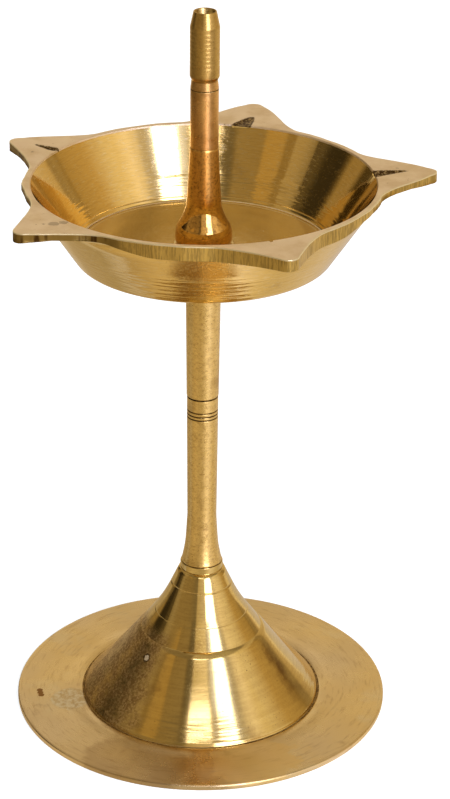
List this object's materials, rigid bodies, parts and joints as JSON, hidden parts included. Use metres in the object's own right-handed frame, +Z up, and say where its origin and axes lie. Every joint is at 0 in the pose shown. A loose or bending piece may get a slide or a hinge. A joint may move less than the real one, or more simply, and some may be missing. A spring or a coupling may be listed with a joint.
{
  "type": "five-wick oil lamp",
  "caption": "Turned brass oil lamp stand: a hollow cone foot on a round plate, a screwed stem, an open oil dish whose rim runs out into pointed wick ears, and a bored finial.",
  "frame": {"origin": "middle of the round foot, on the surface the lamp stands on", "axes": "+Z up along the stem, +X through the middle of the first ear of the dish (ears follow anticlockwise seen from above)"},
  "size_m": [0.1055, 0.1094, 0.185],
  "materials": {
    "stand_brass": "turned and lightly polished, worn",
    "dish_brass": "turned, polished inside, filed edges",
    "finial_brass": "turned, redder brass, satin"
  },
  "bodies": {
    "foot": {"foot_plate_and_cone": "stand_brass"},
    "lower_stem": {"lower_stem": "stand_brass"},
    "upper_stem": {"upper_stem": "stand_brass"},
    "washer": {"seal_washer": "dish_brass"},
    "dish": {"five_ear_dish": "dish_brass"},
    "finial_foot": {"finial_foot": "finial_brass"},
    "finial_shaft": {"finial_shaft": "finial_brass"},
    "finial_tip": {"finial_tip": "finial_brass"}
  },
  "joints": [
    {"name": "unscrew_lower_stem", "type": "slide", "parent": "foot", "child": "lower_stem", "axis": [0, 0, 1], "range_m": [0, 0.014]},
    {"name": "unscrew_upper_stem", "type": "slide", "parent": "lower_stem", "child": "upper_stem", "axis": [0, 0, 1], "range_m": [0, 0.01]},
    {"name": "lift_dish", "type": "slide", "parent": "upper_stem", "child": "washer", "axis": [0, 0, 1], "range_m": [0, 0.0145]},
    {"name": "turn_dish", "type": "hinge", "parent": "washer", "child": "dish", "pos_m": [0, 0, 0.1235], "axis": [0, 0, 1], "continuous": true},
    {"name": "unscrew_finial", "type": "slide", "parent": "washer", "child": "finial_foot", "axis": [0, 0, 1], "range_m": [0, 0.011]},
    {"name": "unscrew_shaft", "type": "slide", "parent": "finial_foot", "child": "finial_shaft", "axis": [0, 0, 1], "range_m": [0, 0.008]},
    {"name": "unscrew_tip", "type": "slide", "parent": "finial_shaft", "child": "finial_tip", "axis": [0, 0, 1], "range_m": [0, 0.007]}
  ]
}
